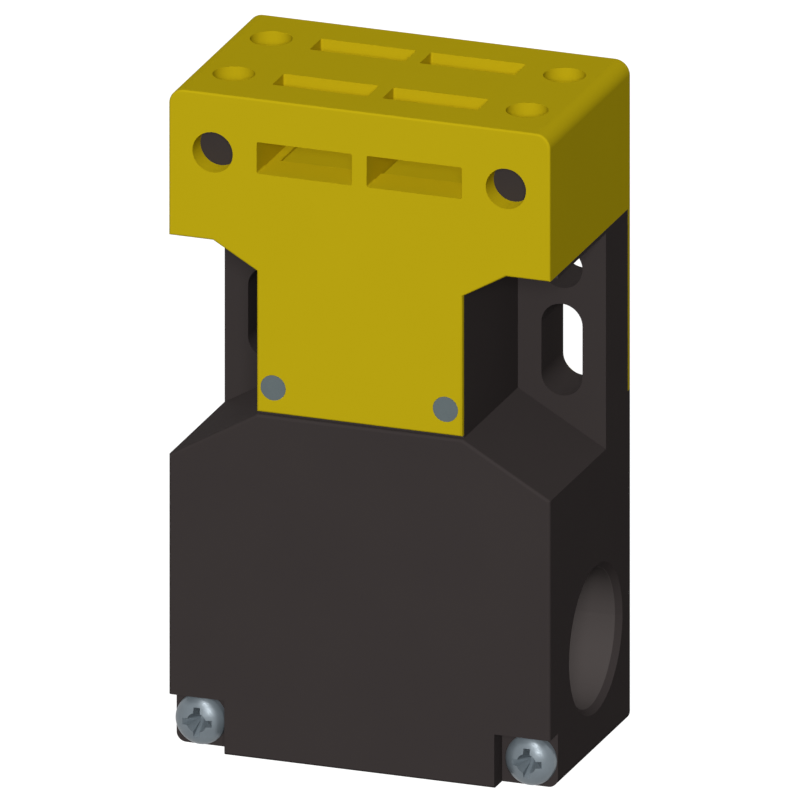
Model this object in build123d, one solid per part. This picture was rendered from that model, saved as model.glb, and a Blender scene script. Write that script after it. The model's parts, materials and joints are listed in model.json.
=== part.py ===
from build123d import *
import os
from math import atan2, cos, degrees, hypot, radians, sin, tan

# Tongue interlock switch. Millimetres, +Z up, front face towards -Y, mounting face towards +Y.
# The origin is the centre of the underside.

# Overall size
width = 52.0
depth = 30.0
case_height = 47.0
neck_height = 23.0
head_height = 20.0

# Case: lower box with sloping shoulders up to the neck
case_wall = 2.5
neck_width = 28.0
shoulder_angle = 30.0
bottom_edge_radius = 1.3
front_edge_radius = 0.4
cover_depth = 6.0

# Mounting flange behind the neck and its fixing holes
flange_thickness = 9.0
fixing_pitch = 40.0
fixing_hole_radius = 2.8
fixing_hole_drop = 5.9
fixing_slot_drop = 11.2
fixing_slot_length = 12.5
upright = 90.0

# Head cap
head_front_wall = 3.0
head_top_wall = 3.0
head_side_wall = 1.6
head_edge_radius = 2.0
head_rim_radius = 0.3
head_fit = 0.2
head_lip_width = 40.0
head_lip_slope = 30.0
apron_thickness = 0.8
apron_gap = 0.4
rear_plate_thickness = 0.8
rear_plate_overlap = 1.8

# Tongue slots, one pair in front and two pairs on top, all at one distance from the cam axis
slot_length = 13.0
slot_width = 4.3
slot_rib = 2.0
slot_offset = 7.0
front_slot_drop = 8.0
slot_corner_radius = 0.25

# Round accessory holes in the head cap
accessory_hole_radius = 2.75

# Pins that lock the head cap to the neck
pin_radius = 1.7
pin_length = 11.0
pin_spacing = 23.5
pin_rise = 3.9
pin_fit = 0.02

# Head carrier: neck, ledge under the cap and two ears that hold the cam axle
ledge_thickness = 1.2
ear_gap = 30.6
ear_wall = 2.4
trough_clearance = 0.4
carrier_screw_spacing = 18.0
carrier_screw_rise = 9.0
carrier_screw_radius = 1.6
carrier_screw_head_radius = 2.9
carrier_screw_head_height = 2.2
carrier_screw_length = 13.0

# Cam drums on their axle
axle_radius = 1.5
axle_end_gap = 0.1
running_clearance = 0.05
cam_hub_radius = 4.4
cam_base_radius = 5.4
cam_side_gap = 0.2
cam_tooth_thickness = 3.0
cam_flat_gap = 0.1
cam_sweep_clearance = 0.3
cam_flank_angle = 15.0
cam_lobe_width = 3.6
cam_lobe_overrun = 6.0
cam_lobe_steps = 6
cam_swing = 50.0
cam_follower_gap = 0.2
spacer_thickness = 1.2
spacer_radius = 3.4

# Tongue guide behind the slots
guide_lift = 1.0
guide_ledge = 1.2
guide_rear_wall = 0.85
rear_wall_gap = 0.1

# Plunger, its spring, seal and bush
plunger_lift = 4.0
plunger_nose_radius = 1.5
plunger_pitch_radius = 11.2
plunger_bar_length = 9.2
plunger_bar_height = 3.0
plunger_stem_radius = 2.0
plunger_collar_radius = 3.9
plunger_collar_height = 1.0
plunger_end_drop = 5.0
plunger_spigot_radius = 1.2
plunger_spigot_length = 2.0
spring_chamber_radius = 4.2
well_clearance = 0.4
spring_mean_radius = 3.1
spring_wire_radius = 0.35
spring_turns = 5.0
spring_seat_gap = 0.05
bush_radius = 4.45
bush_body_height = 3.0
bush_flange_radius = 6.0
bush_flange_height = 1.5
seat_bore_radius = 4.5
seal_height = 2.5
seal_lip_height = 1.25
seal_lip_depth = 0.6
washer_thickness = 0.6
washer_clearance = 0.1

# Cover and its screws
cover_screw_inset = 3.5
cover_screw_height = 3.6
cover_screw_head_radius = 3.4
cover_screw_head_height = 2.4
cover_screw_radius = 1.7
cover_screw_length = 11.0
cover_recess_width = 7.6
cover_recess_height = 7.4
cover_recess_depth = 3.0
corner_post_width = 8.1
corner_post_height = 8.0
screw_hole_clearance = 0.2
screw_head_rim = 0.6
thread_clearance = 0.05
gasket_inset = 0.65
gasket_width = 1.2
gasket_thickness = 0.8
gasket_fit = 0.05
cover_tab_spacing = 14.0
cover_tab_width = 4.0
cover_tab_thickness = 1.1
cover_tab_reach = 2.5
cover_tab_gap = 0.1

# Cable entries, one on each side and one below
entry_bore_radius = 9.2
entry_mouth_radius = 10.0
entry_mouth_depth = 0.8
entry_boss_radius = 11.0
entry_height = 15.5
entry_from_front = 17.2
entry_side_length = 8.8
entry_bottom_length = 8.0

# Contact block
block_top_gap = 1.5
block_height = 20.2
block_side_gap = 0.5
block_corner = 1.5
block_rear_gap = 3.0
block_front = -7.2
block_floor = 2.0
block_column_width = 6.2
chamber_half_depth = 3.4
chamber_front = -3.6
block_front_thickness = 2.0
block_front_rib = 0.8
block_front_rib_spacing = 10.1
block_front_fit = 0.1
lug_width = 6.0
lug_height = 6.0
lug_drop = 8.5
lug_screw_inset = 3.2
lug_thickness = 3.0
block_post_radius = 3.2
block_screw_radius = 1.5
block_screw_head_radius = 2.75
block_screw_head_height = 2.0
block_screw_length = 6.8

# Fixed contacts and terminals
strip_thickness = 0.8
strip_side_gap = 1.3
strip_half_depth = 2.0
tab_width = 5.4
tab_height = 6.6
tab_inset = 3.3
tab_bend_radius = 0.9
tab_slot_fit = 0.05
tip_radius = 1.2
tip_height = 0.6
tip_margin = 0.5
terminal_screw_drop = 3.5
terminal_screw_radius = 1.5
terminal_screw_head_radius = 2.6
terminal_screw_head_height = 2.0
terminal_screw_length = 7.0
terminal_clamp_size = 5.8
terminal_clamp_thickness = 0.8

# Contact carrier, bridges and contact springs
carrier_width = 6.0
carrier_slot_depth = 4.0
carrier_fit = 0.3
carrier_key_width = 2.0
carrier_key_depth = 0.9
bridge_margin = 0.3
bridge_width = 3.6
bridge_corner_radius = 0.9
bridge_thickness = 0.8
contact_gap = 0.3
contact_spring_height = 2.2
contact_spring_radius = 1.1
contact_spring_wire = 0.2
contact_spring_turns = 2.5
contact_spring_gap = 0.1

# Depth stations worked out from the sizes above
y_front = -depth / 2
y_back = depth / 2
y_split = y_front + cover_depth
y_flange = y_back - flange_thickness
y_plate = y_back - rear_plate_thickness
y_apron = y_front + apron_thickness
y_cavity_back = y_back - case_wall
y_head_inner = y_front + head_front_wall
y_entry = y_front + entry_from_front
y_channel = slot_offset + slot_width / 2
y_guide_rear = y_channel + guide_rear_wall
y_rear_wall = y_guide_rear + rear_wall_gap
y_block_rear = y_cavity_back - block_rear_gap
y_lug_front = y_block_rear - lug_thickness
y_recess = y_front + cover_recess_depth

# Heights and widths worked out from the sizes above
half_width = width / 2
half_neck = neck_width / 2
case_top = case_height
case_side_height = case_height - (half_width - half_neck) * tan(radians(shoulder_angle))
cavity_top = case_top - case_wall
cavity_half = half_width - case_wall
head_bottom = case_height + neck_height
height = head_bottom + head_height
head_inner_top = height - head_top_wall
apron_bottom = case_top + apron_gap
rear_plate_bottom = case_top - rear_plate_overlap
fixing_hole_height = head_bottom - fixing_hole_drop
fixing_slot_height = fixing_hole_height - fixing_slot_drop
front_slot_height = height - front_slot_drop
pin_height = case_top + pin_rise
carrier_screw_height = case_top + carrier_screw_rise
guide_bottom = head_bottom + guide_lift
cam_axis_height = front_slot_height - slot_offset
cam_flat_height = slot_offset - slot_width / 2 - cam_flat_gap
cam_radius = hypot(y_channel, cam_flat_height)
cam_sweep_radius = cam_radius + cam_sweep_clearance
trough_radius = cam_radius + trough_clearance
slot_inner = slot_rib / 2
slot_outer = slot_inner + slot_length
slot_centre = slot_inner + slot_length / 2
trough_width = 2 * (slot_outer - guide_ledge)
cam_inner = slot_inner + cam_side_gap
cam_outer = trough_width / 2 - cam_side_gap
ear_inner = ear_gap / 2
head_inner_half = half_width - head_side_wall
ear_outer = head_inner_half - head_fit
fixing_x = fixing_pitch / 2
block_top = cavity_top - block_top_gap
block_bottom = block_top - block_height
block_middle = (block_bottom + block_top) / 2
block_width = 2 * (cavity_half - block_side_gap - lug_width)
chamber_width = block_width - 2 * block_column_width
lug_middle = block_top - lug_drop
lug_screw_x = block_width / 2 + lug_screw_inset
tab_center = block_width / 2 - tab_inset
strip_inner = carrier_width / 2 + strip_side_gap
tip_position = strip_inner + tip_margin + tip_radius
bridge_length = 2 * (tip_position + tip_radius + bridge_margin)
plunger_end_height = block_top - plunger_end_drop
nose_centre_height = cam_axis_height - plunger_pitch_radius
bar_bottom = nose_centre_height + plunger_nose_radius - plunger_bar_height
collar_bottom = bar_bottom - plunger_collar_height
seat_bore_top = cavity_top + bush_body_height + seal_height + washer_thickness
cover_screw_x = half_width - cover_screw_inset


def front_plane(y):
    """Drawing plane seen from the front, standing at depth y: local x is X, local y is Z."""
    return Plane(origin=(0, y, 0), x_dir=(1, 0, 0), z_dir=(0, -1, 0))


def side_plane(x, z=0.0):
    """Drawing plane seen from the right, standing at width x: local x is Y, local y is Z."""
    return Plane(origin=(x, 0, z), x_dir=(0, 1, 0), z_dir=(1, 0, 0))


def front_slab(face, y_near, y_far):
    """Extrude a face drawn in the front view from depth y_near back to depth y_far."""
    return extrude(front_plane(y_far) * face, y_far - y_near)


def side_slab(face, x_low, x_high, z=0.0):
    """Extrude a face drawn in the side view from x_low to x_high."""
    return extrude(side_plane(x_low, z) * face, x_high - x_low)


def block(x_low, x_high, y_low, y_high, z_low, z_high):
    """Rectangular block between two corners."""
    size = (x_high - x_low, y_high - y_low, z_high - z_low)
    centre = ((x_low + x_high) / 2, (y_low + y_high) / 2, (z_low + z_high) / 2)
    return Pos(*centre) * Box(*size)


def rod_y(x, z, radius, y_near, y_far):
    """Round bar or bore along Y."""
    return extrude(front_plane(y_far) * Pos(x, z) * Circle(radius), y_far - y_near)


def rod_x(y, z, radius, x_low, x_high):
    """Round bar or bore along X."""
    return extrude(side_plane(x_low) * Pos(y, z) * Circle(radius), x_high - x_low)


def rod_z(radius, z_low, z_high, x=0.0, y=0.0):
    """Round bar or bore along Z."""
    return extrude(Plane.XY.offset(z_low) * Pos(x, y) * Circle(radius), z_high - z_low)


def both_sides(shape):
    """A piece on the right with its mirror image on the left."""
    return [shape, mirror(shape, about=Plane.YZ)]


def mirrored_cut(body, tool):
    """Cut a tool and its mirror image from a body."""
    return body - both_sides(tool)


def case_outline():
    """Front view of the case: straight sides, sloping shoulders, flat top as wide as the neck."""
    points = [
        (-half_width, 0),
        (half_width, 0),
        (half_width, case_side_height),
        (half_neck, case_top),
        (-half_neck, case_top),
        (-half_width, case_side_height),
    ]
    face = make_face(Polyline(*points, close=True))
    corners = face.vertices().sort_by(Axis.Y)[:2]
    return fillet(corners, bottom_edge_radius)


def cavity_outline():
    """Front view of the wiring space: the case less its walls and the corner posts for screws."""
    face = offset(case_outline(), -case_wall, kind=Kind.INTERSECTION)
    post_x = half_width - corner_post_width / 2
    for side in (-1, 1):
        face -= Pos(side * post_x, corner_post_height / 2) * Rectangle(corner_post_width, corner_post_height)
    return face


def gasket_ring(inset, ring_width):
    """Closed band that runs round the wiring space at a given distance from its edge."""
    outer = offset(cavity_outline(), inset + ring_width, kind=Kind.INTERSECTION)
    inner = offset(cavity_outline(), inset, kind=Kind.INTERSECTION)
    return outer - inner


def fixing_cuts(y_near, y_far):
    """Fixing holes and slots of the flange, between two depths."""
    cuts = []
    slot = SlotOverall(fixing_slot_length, 2 * fixing_hole_radius, rotation=upright)
    for side in (-1, 1):
        cuts.append(rod_y(side * fixing_x, fixing_hole_height, fixing_hole_radius, y_near, y_far))
        cuts.append(front_slab(Pos(side * fixing_x, fixing_slot_height) * slot, y_near, y_far))
    return cuts


def cam_space(radius, half_length):
    """Round clearance about the cam axis."""
    return rod_x(0, cam_axis_height, radius, -half_length, half_length)


def base_housing():
    """Case with flange: shell, cable entries, screw posts and the rear wall behind the cams."""
    body = front_slab(case_outline(), y_split, y_back)
    flange = Rectangle(width, head_bottom - case_side_height, align=(Align.CENTER, Align.MIN))
    body += front_slab(Pos(0, case_side_height) * flange, y_flange, y_back)
    body += block(-ear_outer, ear_outer, y_rear_wall, y_plate, head_bottom, head_inner_top - head_fit)
    body -= block(-half_width, half_width, y_plate, y_back, rear_plate_bottom, height)
    body -= front_slab(cavity_outline(), y_split, y_cavity_back)

    # Cable entry bosses stand inside the wiring space
    boss_inner = half_width - entry_side_length
    right_boss = rod_x(y_entry, entry_height, entry_boss_radius, boss_inner, half_width - case_wall)
    body += both_sides(right_boss)
    body += rod_z(entry_boss_radius, case_wall / 2, entry_bottom_length, y=y_entry)
    for tool in entry_cuts():
        body -= tool

    # Posts on the back wall carry the contact block
    body += both_sides(rod_y(lug_screw_x, lug_middle, block_post_radius, y_block_rear, y_cavity_back))
    block_screw_tip = y_lug_front + block_screw_length + thread_clearance
    hole_radius = block_screw_radius + thread_clearance
    body = mirrored_cut(body, rod_y(lug_screw_x, lug_middle, hole_radius, y_block_rear, block_screw_tip))

    # Threads of the cover screws, groove of the gasket
    screw_end = y_recess + cover_screw_length + thread_clearance
    screw_hole = cover_screw_radius + thread_clearance
    body = mirrored_cut(body, rod_y(cover_screw_x, cover_screw_height, screw_hole, y_split, screw_end))
    groove = gasket_ring(gasket_inset - gasket_fit, gasket_width + 2 * gasket_fit)
    body -= front_slab(groove, y_split, y_split + gasket_thickness)

    # Seat of the plunger bush, holes for the carrier screws, fixing holes, room for the cams
    body -= rod_z(seat_bore_radius, cavity_top, case_top)
    head_seat = y_plate - carrier_screw_head_height - screw_hole_clearance
    screw_x = carrier_screw_spacing / 2
    body = mirrored_cut(body, rod_y(screw_x, carrier_screw_height,
                                    carrier_screw_radius + screw_hole_clearance, y_flange, head_seat))
    body = mirrored_cut(body, rod_y(screw_x, carrier_screw_height,
                                    carrier_screw_head_radius + screw_hole_clearance, head_seat, y_plate))
    for tool in fixing_cuts(y_flange, y_plate):
        body -= tool
    body -= cam_space(trough_radius, trough_width / 2)
    return body


def entry_cuts():
    """Bores and flared mouths of the three cable entries."""
    inner = half_width - entry_side_length
    mouth_start = half_width - entry_mouth_depth
    bore = rod_x(y_entry, entry_height, entry_bore_radius, inner, mouth_start)
    mouth = loft([
        side_plane(mouth_start) * Pos(y_entry, entry_height) * Circle(entry_bore_radius),
        side_plane(half_width) * Pos(y_entry, entry_height) * Circle(entry_mouth_radius),
    ])
    cuts = both_sides(bore + mouth)
    low_bore = rod_z(entry_bore_radius, entry_mouth_depth, entry_bottom_length, y=y_entry)
    low_mouth = loft([
        Plane.XY * Pos(0, y_entry) * Circle(entry_mouth_radius),
        Plane.XY.offset(entry_mouth_depth) * Pos(0, y_entry) * Circle(entry_bore_radius),
    ])
    cuts.append(low_bore + low_mouth)
    return cuts


def front_cover():
    """Cover of the wiring space with corner recesses for its screws and tabs along its top."""
    cover = front_slab(case_outline(), y_front, y_split)
    rim = cover.faces().sort_by(Axis.Y)[0].edges()
    cover = fillet(rim, front_edge_radius)
    cover -= front_slab(cavity_outline(), y_front + case_wall, y_split)
    recess = block(half_width - cover_recess_width, half_width, y_front, y_recess, 0, cover_recess_height)
    cover = mirrored_cut(cover, recess)
    hole_radius = cover_screw_radius + screw_hole_clearance
    hole = rod_y(cover_screw_x, cover_screw_height, hole_radius, y_recess, y_split)
    cover = mirrored_cut(cover, hole)
    tab_x = cover_tab_spacing / 2
    tab_top = cavity_top - cover_tab_gap
    tab = block(tab_x - cover_tab_width / 2, tab_x + cover_tab_width / 2, y_front + case_wall,
                y_split + cover_tab_reach, tab_top - cover_tab_thickness, tab_top)
    return cover + both_sides(tab)


def cover_gasket():
    """Rubber ring in the groove of the case."""
    return front_slab(gasket_ring(gasket_inset, gasket_width), y_split, y_split + gasket_thickness)


def pan_screw(x, z, seat, dome_radius, dome_height, shank_radius, shank_length):
    """Screw along Y with its domed head in front of the seat."""
    dome = rod_y(x, z, dome_radius, seat - dome_height, seat)
    rim = dome.edges().sort_by(Axis.Y)[0]
    dome = fillet(rim, dome_height - screw_head_rim)
    return dome + rod_y(x, z, shank_radius, seat, seat + shank_length)


def head_carrier():
    """Neck with plunger bore, ledge under the cap and two hollow ears for the cam axle."""
    body = block(-half_neck, half_neck, y_apron, y_flange, case_top, head_bottom)
    body += block(-half_width, half_width, y_head_inner, y_flange,
                  head_bottom - ledge_thickness, head_bottom)
    ear_top = head_inner_top - head_fit
    ear_front = y_head_inner + head_fit
    ear = block(ear_inner, ear_outer, ear_front, y_guide_rear, head_bottom, ear_top)
    core = block(ear_inner + ear_wall, ear_outer - ear_wall, ear_front + ear_wall, y_guide_rear,
                 head_bottom + ear_wall, ear_top - ear_wall)
    body += both_sides(ear - core)
    body -= cam_space(axle_radius + pin_fit, ear_outer)
    body -= cam_space(trough_radius, trough_width / 2)

    # Plunger well, spring chamber and seat for washer and seal
    bar_half = plunger_bar_length / 2 + well_clearance
    body -= block(-bar_half, bar_half, -plunger_nose_radius - well_clearance,
                  plunger_nose_radius + well_clearance, bar_bottom - well_clearance, cam_axis_height)
    body -= rod_z(spring_chamber_radius, seat_bore_top, cam_axis_height)
    body -= rod_z(seat_bore_radius, case_top, seat_bore_top)

    # Pins of the head cap and screws from the flange
    pin_hole = rod_y(pin_spacing / 2, pin_height, pin_radius + pin_fit,
                     y_apron, y_front + pin_length + pin_fit)
    body = mirrored_cut(body, pin_hole)
    screw_tip = y_plate - carrier_screw_head_height - screw_hole_clearance - carrier_screw_length
    screw_hole = rod_y(carrier_screw_spacing / 2, carrier_screw_height,
                       carrier_screw_radius + thread_clearance, screw_tip - thread_clearance, y_flange)
    return mirrored_cut(body, screw_hole)


def carrier_screws():
    """Two screws that hold the neck to the flange, put in from behind."""
    seat = y_plate - carrier_screw_head_height - screw_hole_clearance
    x = carrier_screw_spacing / 2
    head = rod_y(x, carrier_screw_height, carrier_screw_head_radius, seat, seat + carrier_screw_head_height)
    shank = rod_y(x, carrier_screw_height, carrier_screw_radius, seat - carrier_screw_length, seat)
    return Compound(both_sides(head + shank))


def tongue_slots():
    """Cuts of the three pairs of tongue slots, deep enough to pass the walls of the cap."""
    opening = RectangleRounded(slot_length, slot_width, slot_corner_radius)
    cuts = []
    for side in (-1, 1):
        cuts.append(front_slab(Pos(side * slot_centre, front_slot_height) * opening, y_front, y_head_inner))
        for row in (-slot_offset, slot_offset):
            cuts.append(extrude(Plane.XY.offset(head_inner_top) * Pos(side * slot_centre, row) * opening,
                                head_top_wall))
    return cuts


def accessory_holes():
    """Round holes of the cap: one each side in front, four on top."""
    cuts = []
    for side in (-1, 1):
        cuts.append(rod_y(side * fixing_x, front_slot_height, accessory_hole_radius, y_front, y_head_inner))
        for row in (-slot_offset, slot_offset):
            cuts.append(rod_z(accessory_hole_radius, head_inner_top, height, side * fixing_x, row))
    return cuts


def head_front_outline():
    """Front view of the cap below its box: a lip that narrows to the apron."""
    half_lip = head_lip_width / 2
    lip_end = head_bottom - (half_lip - half_neck) * tan(radians(head_lip_slope))
    points = [(half_lip, head_bottom), (half_neck, lip_end)]
    left = [(-x, z) for x, z in reversed(points)]
    return make_face(Polyline(*points, *left, close=True))


def head_shell():
    """Yellow cap: box open below, lip and apron in front, thin plate behind the flange."""
    cap = block(-half_width, half_width, y_front, y_back, head_bottom, height)
    cap += front_slab(head_front_outline(), y_front, y_head_inner)
    cap += block(-half_neck, half_neck, y_front, y_apron, apron_bottom, height - head_top_wall)
    cap += block(-half_width, half_width, y_plate, y_back, rear_plate_bottom, height - head_top_wall)
    top_edges = cap.edges().filter_by(Axis.Y).group_by(Axis.Z)[-1]
    cap = fillet(top_edges, head_edge_radius)
    cap = fillet(cap.faces().sort_by(Axis.Y)[0].outer_wire().edges(), head_rim_radius)
    cap -= block(-head_inner_half, head_inner_half, y_head_inner, y_plate, head_bottom, head_inner_top)
    cap -= block(-half_neck, half_neck, y_apron, y_head_inner, case_top, head_bottom)
    for tool in tongue_slots() + accessory_holes() + fixing_cuts(y_plate, y_back):
        cap -= tool
    pin_hole = rod_y(pin_spacing / 2, pin_height, pin_radius + pin_fit, y_front, y_apron)
    return mirrored_cut(cap, pin_hole)


def head_pins():
    """Two pins, flush with the apron, that lock the cap to the neck."""
    return Compound(both_sides(rod_y(pin_spacing / 2, pin_height, pin_radius, y_front, y_front + pin_length)))


def tongue_guide():
    """Channel behind the slots: floor in front of the cams, cheeks beside them, web between them."""
    half = ear_inner - head_fit
    guide = block(-half, half, y_head_inner, y_guide_rear, guide_bottom, head_inner_top)
    floor = front_slot_height - slot_width / 2
    right_slot = block(slot_inner, slot_outer, y_head_inner, y_channel, floor, floor + slot_width)
    right_space = block(slot_inner, slot_outer, -y_channel, y_channel, floor, head_inner_top)
    guide = mirrored_cut(guide, right_slot)
    guide = mirrored_cut(guide, right_space)

    # Room for the turning drums, then for their hubs on the way down over the axle
    drum_half = trough_width / 2
    guide = mirrored_cut(guide, rod_x(0, cam_axis_height, cam_sweep_radius, slot_inner, drum_half))
    below_cams = block(-drum_half, drum_half, -cam_sweep_radius, cam_sweep_radius,
                       guide_bottom, cam_axis_height)
    guide -= below_cams
    hub_gap = cam_hub_radius + well_clearance
    guide -= cam_space(hub_gap, half)
    return guide - block(-half, half, -hub_gap, hub_gap, guide_bottom, cam_axis_height)


def cam_axle():
    """Shaft through both ears, held endways by the side walls of the cap."""
    half = ear_outer - axle_end_gap
    return rod_x(0, cam_axis_height, axle_radius, -half, half)


def cam_spacer():
    """Washer between the two drums."""
    half = spacer_thickness / 2
    face = Circle(spacer_radius) - Circle(axle_radius + running_clearance)
    return side_slab(face, -half, half, cam_axis_height)


def drum_profile():
    """Side view of a drum: three teeth with flats level with the slot floor, open below."""
    reach = 2 * cam_radius
    face = Circle(cam_radius)
    notch = Rectangle(reach, reach, align=(Align.MIN, Align.MIN))
    face = mirrored_cut(face, Pos(cam_tooth_thickness / 2, cam_flat_height) * notch)
    flank = radians(cam_flank_angle)
    side = reach * cos(flank)
    drop = -reach * sin(flank)
    points = [(0, 0), (side, drop), (reach, -reach), (-reach, -reach), (-side, drop)]
    face -= make_face(Polyline(*points, close=True))
    return face + Circle(cam_base_radius)


def lobe_point(angle):
    """Point of the lobe that the plunger's nose rides on, for a drum turned by angle in degrees."""
    slope = plunger_lift / radians(cam_swing)
    pitch = plunger_pitch_radius - slope * radians(angle)
    shift = (plunger_nose_radius + cam_follower_gap) / hypot(pitch, slope)
    radial = pitch - shift * pitch
    around = -shift * slope
    turn = radians(angle)
    y = radial * sin(turn) + around * cos(turn)
    z = -radial * cos(turn) + around * sin(turn)
    return (y, z)


def lobe_profile():
    """Heart-shaped lobe: the nose rises evenly as the drum turns either way from rest."""
    slope = plunger_lift / radians(cam_swing)
    shift = (plunger_nose_radius + cam_follower_gap) / hypot(plunger_pitch_radius, slope)
    first = degrees(atan2(shift * slope, plunger_pitch_radius * (1 - shift)))
    span = cam_swing + cam_lobe_overrun - first
    angles = [first + span * i / cam_lobe_steps for i in range(1, cam_lobe_steps + 1)]
    tip = (0, lobe_point(first)[1])
    right = [tip] + [lobe_point(angle) for angle in angles]
    left = [(-y, z) for y, z in reversed(right)]
    sides = [Spline(*right), Line(right[-1], (0, 0)), Line((0, 0), left[0]), Spline(*left)]
    return make_face(sides)


def right_cam():
    """Right drum: wide toothed part, lobe next to the middle, hub on the axle."""
    drum = side_slab(drum_profile(), cam_inner, cam_outer, cam_axis_height)
    drum += side_slab(lobe_profile(), cam_inner, cam_inner + cam_lobe_width, cam_axis_height)
    hub_start = spacer_thickness / 2 + running_clearance
    hub_end = ear_inner - cam_side_gap
    drum += side_slab(Circle(cam_hub_radius), hub_start, hub_end, cam_axis_height)
    return drum - cam_space(axle_radius + running_clearance, hub_end)


def plunger():
    """Plunger with a rounded bar under the lobes, a collar for the spring and a thin stem."""
    nose = plunger_nose_radius
    half = plunger_bar_length / 2
    bar = block(-half, half, -nose, nose, bar_bottom, nose_centre_height)
    bar += rod_x(0, nose_centre_height, nose, -half, half)
    body = bar + rod_z(plunger_collar_radius, collar_bottom, bar_bottom)
    body += rod_z(plunger_stem_radius, plunger_end_height, collar_bottom)
    return body + rod_z(plunger_spigot_radius, plunger_end_height - plunger_spigot_length, plunger_end_height)


def coil(mean_radius, wire_radius, turns, z_low, z_high):
    """Coil spring of round wire standing between two heights."""
    rise = z_high - z_low - 2 * wire_radius
    path = Helix(pitch=rise / turns, height=rise, radius=mean_radius)
    section = Plane(origin=path @ 0, z_dir=path % 0) * Circle(wire_radius)
    return Pos(0, 0, z_low + wire_radius) * sweep(section, path=path, is_frenet=True)


def return_spring():
    """Spring that pushes the plunger up against the cams."""
    return coil(spring_mean_radius, spring_wire_radius, spring_turns,
                seat_bore_top + spring_seat_gap, collar_bottom - spring_seat_gap)


def ring_z(outer, inner, z_low, z_high):
    """Flat ring or tube about the plunger."""
    return rod_z(outer, z_low, z_high) - rod_z(inner, z_low, z_high)


def guide_bush():
    """Flanged bush in the roof of the wiring space."""
    bore = plunger_stem_radius + running_clearance
    bush = rod_z(bush_radius, cavity_top, cavity_top + bush_body_height)
    bush += rod_z(bush_flange_radius, cavity_top - bush_flange_height, cavity_top)
    return bush - rod_z(bore, cavity_top - bush_flange_height, cavity_top + bush_body_height)


def plunger_seal():
    """Rubber ring with a hollow back and a lip at the stem."""
    low = cavity_top + bush_body_height
    high = low + seal_height
    seal = ring_z(bush_radius, plunger_stem_radius + running_clearance, low, high)
    lip = plunger_stem_radius + seal_lip_depth
    return seal - ring_z(bush_radius - seal_lip_depth, lip, high - seal_lip_height, high)


def spring_washer():
    """Washer between seal and spring."""
    low = cavity_top + bush_body_height + seal_height
    return ring_z(bush_radius, plunger_stem_radius + washer_clearance, low, low + washer_thickness)


def contact_block():
    """Moulded block: chamber for the carrier, columns for the terminals, lugs for its screws."""
    half = block_width / 2
    half_chamber = chamber_width / 2
    body = block(-half, half, block_front, y_block_rear, block_bottom, block_top)
    body = chamfer(body.edges().filter_by(Axis.Y), block_corner)
    body -= block(-half_chamber, half_chamber, block_front, chamber_front, block_bottom, block_top)
    body -= block(-half_chamber, half_chamber, chamber_front, chamber_half_depth,
                  block_bottom + block_floor, block_top - block_floor)
    opening = carrier_width / 2 + carrier_fit
    body -= block(-opening, opening, chamber_front, opening, block_top - block_floor, block_top)
    key_half = (carrier_key_width + carrier_fit) / 2
    key_rear = opening + carrier_key_depth
    body -= block(-key_half, key_half, 0, key_rear, block_bottom + block_floor, block_top)

    # Slots for the contact strips and clearance for the screw ends
    cut_high = tab_center + tab_width / 2 + tab_slot_fit
    strip_bottom = block_top - block_floor - strip_thickness
    slot = block(half_chamber, cut_high, block_front, strip_half_depth + tab_slot_fit,
                 strip_bottom - tab_slot_fit, strip_bottom + strip_thickness + tab_slot_fit)
    screw_z = block_top - block_floor - terminal_screw_drop
    hole = rod_y(tab_center, screw_z, terminal_screw_radius + screw_hole_clearance, block_front,
                 block_front + terminal_screw_length)
    for tool in (slot, hole):
        body = mirrored_cut(body, tool)
        body = mirrored_cut(body, mirror(tool, about=Plane.XY.offset(block_middle)))

    # Fixing lugs
    lug = block(half, half + lug_width, y_lug_front, y_block_rear,
                lug_middle - lug_height / 2, lug_middle + lug_height / 2)
    lug -= rod_y(lug_screw_x, lug_middle, block_screw_radius + screw_hole_clearance,
                 y_lug_front, y_block_rear)
    return body + both_sides(lug)


def contact_block_front():
    """Plate that closes the chamber, with two stiffening ribs."""
    half = chamber_width / 2 - block_front_fit
    near = chamber_front - block_front_thickness
    plate = block(-half, half, near, chamber_front, block_bottom, block_top)
    for side in (-1, 1):
        rib_z = block_middle + side * block_front_rib_spacing / 2
        plate += block(-half, half, near - block_front_rib, near,
                       rib_z - block_front_rib, rib_z + block_front_rib)
    return plate


def block_screws():
    """Two screws through the lugs into the posts of the case."""
    screw = pan_screw(lug_screw_x, lug_middle, y_lug_front, block_screw_head_radius,
                      block_screw_head_height, block_screw_radius, block_screw_length)
    return Compound(both_sides(screw))


def right_upper_terminal():
    """Contact strip under the roof of the chamber, bent down in front for its screw."""
    top = block_top - block_floor
    under = top - strip_thickness
    outside = block_front - strip_thickness
    points = [
        (strip_half_depth, under),
        (strip_half_depth, top),
        (outside, top),
        (outside, top - tab_height),
        (block_front, top - tab_height),
        (block_front, under),
    ]
    section = make_face(Polyline(*points, close=True))
    corner = section.vertices().group_by(Axis.X)[0].sort_by(Axis.Y)[-1]
    section = fillet(corner, tab_bend_radius)
    strip = side_slab(section, tab_center - tab_width / 2, tab_center + tab_width / 2)
    strip += block(strip_inner, tab_center, -strip_half_depth, strip_half_depth, under, top)
    hole_radius = terminal_screw_radius + thread_clearance
    return strip - rod_y(tab_center, top - terminal_screw_drop, hole_radius, outside, block_front)


def fixed_tip():
    """Silver face under the right upper strip."""
    top = block_top - block_floor - strip_thickness
    return rod_z(tip_radius, top - tip_height, top, tip_position)


def terminal_clamp():
    """Square wire clamp in front of the right upper tab."""
    seat = block_front - strip_thickness
    screw_z = block_top - block_floor - terminal_screw_drop
    plate = Rectangle(terminal_clamp_size, terminal_clamp_size)
    plate -= Circle(terminal_screw_radius + thread_clearance)
    return front_slab(Pos(tab_center, screw_z) * plate, seat - terminal_clamp_thickness, seat)


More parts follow.
